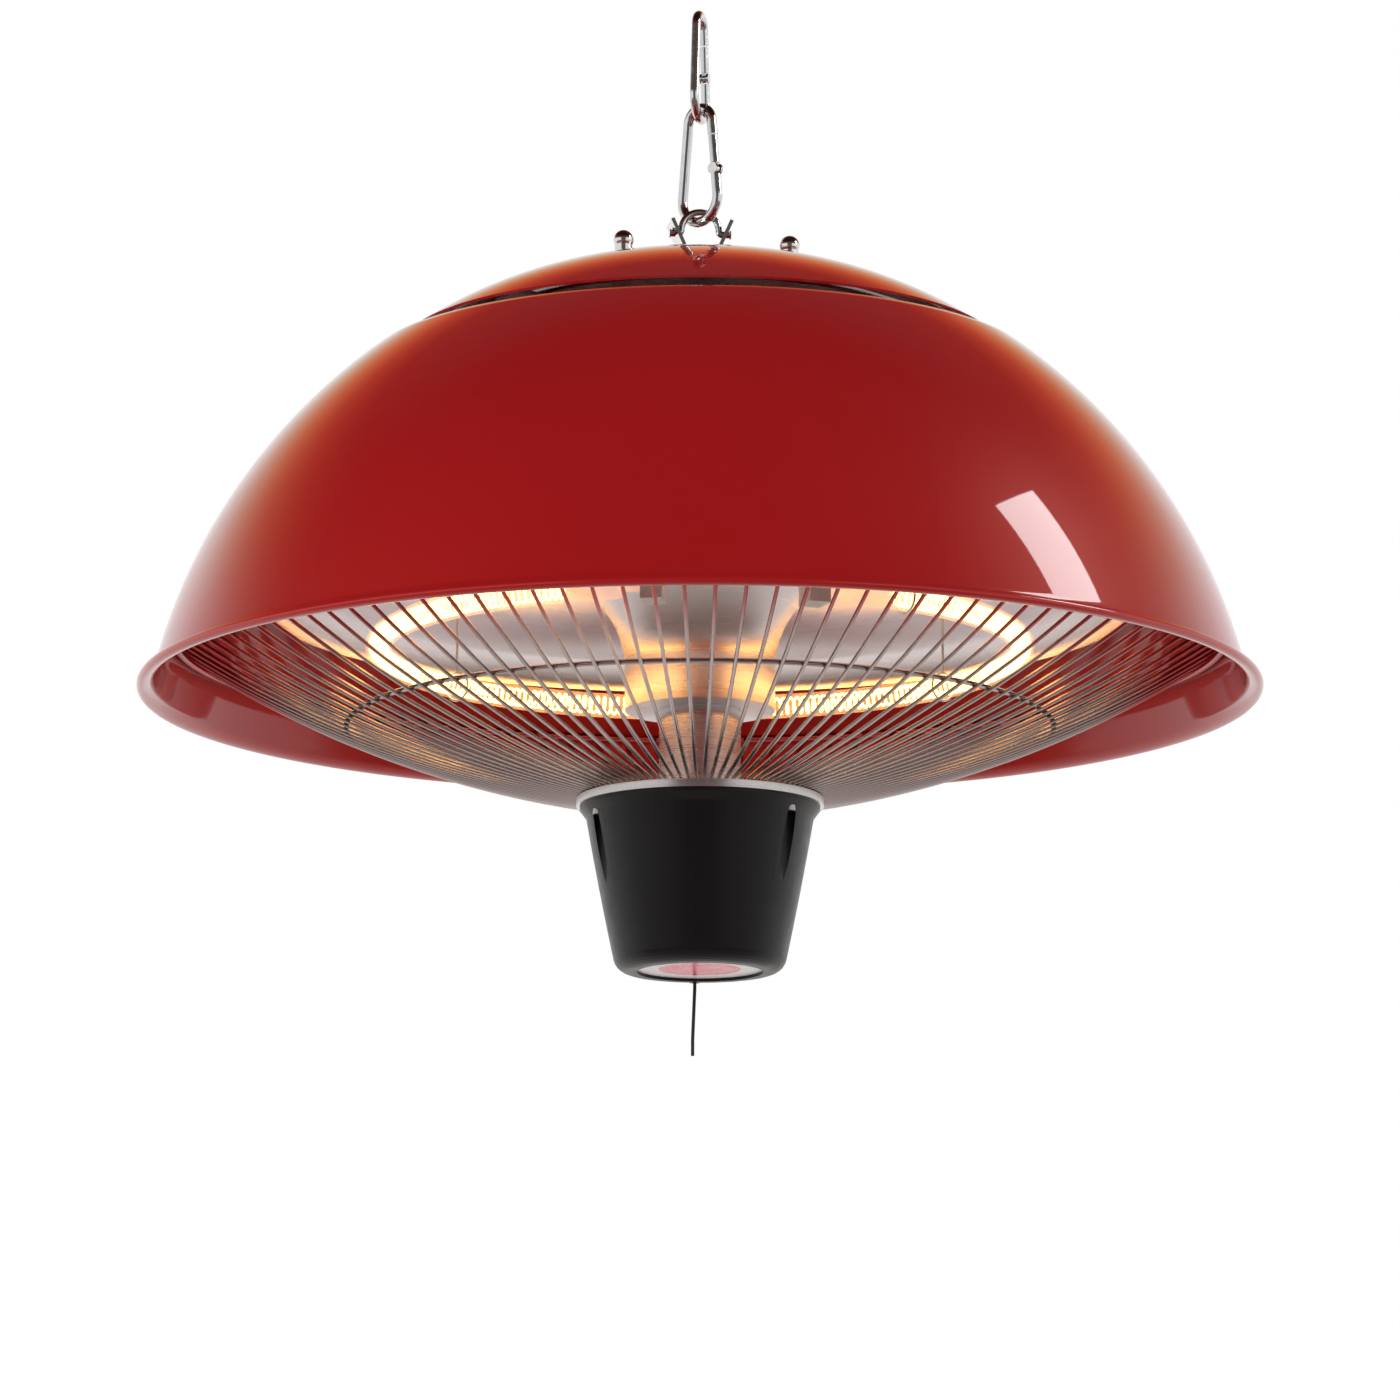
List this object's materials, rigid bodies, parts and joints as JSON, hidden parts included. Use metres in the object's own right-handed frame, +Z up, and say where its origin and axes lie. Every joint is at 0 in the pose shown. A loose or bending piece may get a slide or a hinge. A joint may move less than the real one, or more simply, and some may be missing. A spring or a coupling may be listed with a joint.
{
  "type": "heat lamp fixture",
  "caption": "Hanging halogen ring heater: vented round shade, trumpet reflector, wire guard, control housing with pull switch and snap hooks.",
  "frame": {"origin": "inside of the top bend of the upper snap hook, where the lamp hangs", "axes": "+Z up along the lamp's axis, -Y towards the side with the gap of the halogen ring, +X to its right"},
  "size_m": [0.4259, 0.426, 0.4029],
  "materials": {
    "hook_steel": "bright nickel plated wire",
    "bright_steel": "polished stainless",
    "red_enamel": "high gloss deep red enamel",
    "zinc_steel": "zinc plated",
    "black_plastic": "matt moulded",
    "housing_black": "satin moulded, very fine texture",
    "ceramic": "unglazed",
    "polished_aluminium": "polished and spun, fine turning lines",
    "bare_aluminium": "satin",
    "quartz": "clear fused quartz",
    "hot_filament": "glowing tungsten coil",
    "lead_braid": "glass fibre sleeve",
    "guard_steel": "bright drawn wire, heat tinted",
    "white_plastic": "opal moulded",
    "red_lens": "translucent red",
    "circuit_board": "solder resist",
    "relay_blue": "moulded",
    "black_cord": "braided"
  },
  "bodies": {
    "upper_hook": {"upper_hook": "hook_steel", "upper_gate_pin": "bright_steel"},
    "upper_gate": {"upper_gate": "hook_steel"},
    "lower_hook": {"lower_hook": "hook_steel", "lower_gate_pin": "bright_steel"},
    "lower_gate": {"lower_gate": "hook_steel"},
    "hanging_bail": {"hanging_bail": "hook_steel"},
    "pull": {"switch_plunger": "white_plastic", "pull_cord": "black_cord"},
    "lamp": {"hanger_bracket": "bright_steel", "hanger_screw": "bright_steel", "dome_nuts": "bright_steel", "nut_washers": "zinc_steel", "cap": "red_enamel", "studs": "zinc_steel", "spacers": "zinc_steel", "cable_gland": "black_plastic", "gland_nut": "black_plastic", "terminal_box": "black_plastic", "terminal_box_lid": "black_plastic", "terminal_block": "ceramic", "mounting_plate": "zinc_steel", "shade_arms": "zinc_steel", "shade": "red_enamel", "heat_shield": "zinc_steel", "reflector_struts": "zinc_steel", "reflector": "polished_aluminium", "reflector_base": "polished_aluminium", "centre_tube": "bare_aluminium", "quartz_ring": "quartz", "heating_coil": "hot_filament", "tube_ends": "quartz", "end_holders": "ceramic", "tube_clips": "bright_steel", "lamp_leads": "lead_braid", "guard_outer_ring": "guard_steel", "guard_mid_ring": "guard_steel", "guard_wires": "guard_steel", "guard_collar": "bare_aluminium", "housing": "housing_black", "housing_screws": "zinc_steel", "window_ring": "white_plastic", "receiver_window": "red_lens", "control_board": "circuit_board", "relay": "relay_blue", "switch_body": "black_plastic", "switch_spring": "bright_steel", "cord_bush": "black_plastic"}
  },
  "joints": [
    {"name": "upper_gate_hinge", "type": "hinge", "parent": "upper_hook", "child": "upper_gate", "pos_m": [0.00192, 0.00715, -0.02149], "axis": [0.9659, -0.2588, 0], "range_deg": [0, 28], "stiffness_Nm_per_rad": 0.02},
    {"name": "lower_hook_swing", "type": "hinge", "parent": "upper_hook", "child": "lower_hook", "pos_m": [0, 0, -0.0396], "axis": [0.2588, 0.9659, 0], "range_deg": [-20, 20]},
    {"name": "lower_gate_hinge", "type": "hinge", "parent": "lower_hook", "child": "lower_gate", "pos_m": [0.00589, -0.00549, -0.0606], "axis": [-0.682, -0.7314, 0], "range_deg": [0, 28], "stiffness_Nm_per_rad": 0.02},
    {"name": "bail_swing", "type": "hinge", "parent": "lower_hook", "child": "hanging_bail", "pos_m": [0, 0, -0.0803], "axis": [0.7314, -0.682, 0], "range_deg": [-15, 15]},
    {"name": "lamp_swing", "type": "hinge", "parent": "hanging_bail", "child": "lamp", "pos_m": [0, 0, -0.0851], "axis": [0.9903, 0.1392, 0], "range_deg": [-30, 30]},
    {"name": "pull_slide", "type": "slide", "parent": "lamp", "child": "pull", "axis": [0, 0, -1], "range_m": [0, 0.004], "stiffness_N_per_m": 800, "deforming": ["switch_spring"]}
  ]
}
